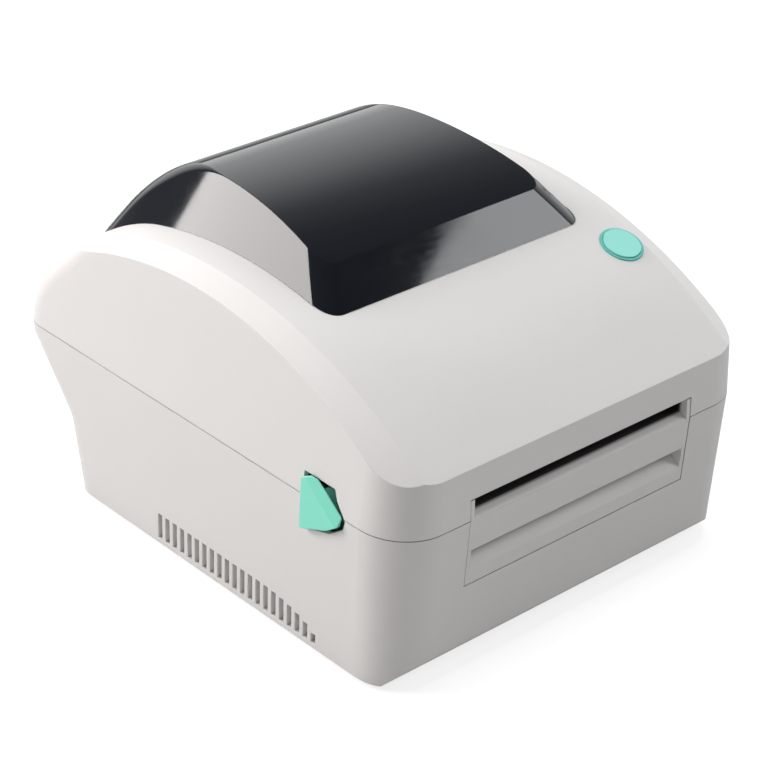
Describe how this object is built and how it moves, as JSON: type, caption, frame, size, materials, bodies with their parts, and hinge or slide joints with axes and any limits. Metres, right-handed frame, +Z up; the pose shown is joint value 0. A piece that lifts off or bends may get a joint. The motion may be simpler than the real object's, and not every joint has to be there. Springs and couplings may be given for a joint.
{
  "type": "thermal label printer",
  "caption": "Desktop direct thermal label printer with a hinged cover, smoked window, side release levers, front label and liner slots, and a roll bay with linked holders.",
  "frame": {"origin": "bottom centre of the bounding box, on the surface that the feet stand on", "axes": "+X to the printer's right seen from its front, +Y to its rear, +Z up"},
  "size_m": [0.2024, 0.232, 0.1505],
  "materials": {
    "case_white": "fine moulded grain",
    "tray_grey": "moulded",
    "smoked": "polished, smoked",
    "mint": "satin",
    "mint_dark": "satin",
    "rubber_black": "matt",
    "steel": "brushed",
    "screw_steel": "plated",
    "gear_white": "moulded acetal",
    "holder_grey": "moulded",
    "sensor_black": "moulded",
    "motor_case": "black and steel",
    "board_green": "solder mask",
    "shield": "plated",
    "ceramic": "glazed ceramic",
    "sink": "extruded"
  },
  "bodies": {
    "base": {"lower_case": "case_white", "front_panel": "case_white", "media_tray": "tray_grey", "feet": "rubber_black", "frame_left": "steel", "frame_right": "steel", "frame_screws": "screw_steel", "platen_bushes": "gear_white", "idler_pin": "steel", "drive_motor": "motor_case", "sensor_rail": "steel", "main_board": "board_green", "board_screws": "screw_steel", "board_parts": "sensor_black", "dc_jack": "sensor_black", "usb_socket": "shield", "power_switch": "sensor_black", "hinge_pins": "steel"},
    "cover": {"upper_case": "case_white", "window": "smoked", "button_ring": "mint_dark", "button_board": "board_green", "head_bracket": "steel", "bracket_screws": "screw_steel", "striker_pins": "steel", "tear_bar": "steel"},
    "latch": {"latch_shaft": "steel", "latch_lever_left": "mint", "latch_lever_right": "mint", "latch_spring": "screw_steel"},
    "platen": {"platen_shaft": "steel", "platen_rubber": "rubber_black", "platen_gear": "gear_white"},
    "idler": {"idler_gear": "gear_white"},
    "motor_rotor": {"motor_pinion": "gear_white"},
    "holder_left": {"roll_holder_left": "holder_grey", "rack_left": "holder_grey"},
    "holder_right": {"roll_holder_right": "holder_grey", "rack_right": "holder_grey"},
    "pinion": {"holder_pinion": "gear_white"},
    "sensor": {"gap_sensor": "sensor_black"},
    "rocker": {"power_rocker": "sensor_black"},
    "button": {"feed_button": "mint"},
    "head": {"print_head": "ceramic", "heatsink": "sink", "head_springs": "screw_steel"}
  },
  "joints": [
    {"name": "cover_hinge", "type": "hinge", "parent": "base", "child": "cover", "pos_m": [0, 0.1125, 0.07015], "axis": [-1, 0, 0], "range_deg": [0, 88]},
    {"name": "latch_turn", "type": "hinge", "parent": "base", "child": "latch", "pos_m": [0, -0.058, 0.04], "axis": [1, 0, 0], "range_deg": [0, 7], "stiffness_Nm_per_rad": 0.4, "springref_deg": -11.46},
    {"name": "platen_turn", "type": "hinge", "parent": "base", "child": "platen", "pos_m": [0, -0.092, 0.065], "axis": [1, 0, 0], "continuous": true},
    {"name": "idler_turn", "type": "hinge", "parent": "base", "child": "idler", "pos_m": [0.076, -0.08782, 0.04127], "axis": [1, 0, 0], "continuous": true},
    {"name": "motor_turn", "type": "hinge", "parent": "base", "child": "motor_rotor", "pos_m": [0.07, -0.08163, 0.02426], "axis": [1, 0, 0], "continuous": true},
    {"name": "holder_left_slide", "type": "slide", "parent": "base", "child": "holder_left", "axis": [1, 0, 0], "range_m": [0, 0.045]},
    {"name": "holder_right_slide", "type": "slide", "parent": "base", "child": "holder_right", "axis": [-1, 0, 0], "range_m": [0, 0.0451]},
    {"name": "holder_pinion_turn", "type": "hinge", "parent": "base", "child": "pinion", "pos_m": [0, 0.028, 0.0095], "axis": [0, 0, 1], "range_deg": [0, 323]},
    {"name": "sensor_slide", "type": "slide", "parent": "base", "child": "sensor", "axis": [1, 0, 0], "range_m": [-0.045, 0.045]},
    {"name": "rocker_tip", "type": "hinge", "parent": "base", "child": "rocker", "pos_m": [0.062, 0.08446, 0.01766], "axis": [1, 0, 0], "range_deg": [0, 14]},
    {"name": "feed_button_press", "type": "slide", "parent": "cover", "child": "button", "axis": [0, 0.3317, -0.9434], "range_m": [0, 0.0008], "stiffness_N_per_m": 600, "springref_m": -0.0008},
    {"name": "head_float", "type": "slide", "parent": "cover", "child": "head", "axis": [0, 0, 1], "range_m": [0, 0.001], "stiffness_N_per_m": 3000, "springref_m": -0.003, "deforming": ["head_springs"]}
  ],
  "couplings": [
    {"joint": "idler_turn", "follows": "platen_turn", "ratio": -1},
    {"joint": "motor_turn", "follows": "platen_turn", "ratio": 2},
    {"joint": "holder_right_slide", "follows": "holder_left_slide", "ratio": 1},
    {"joint": "holder_pinion_turn", "follows": "holder_left_slide", "rad_per_m": 125}
  ]
}
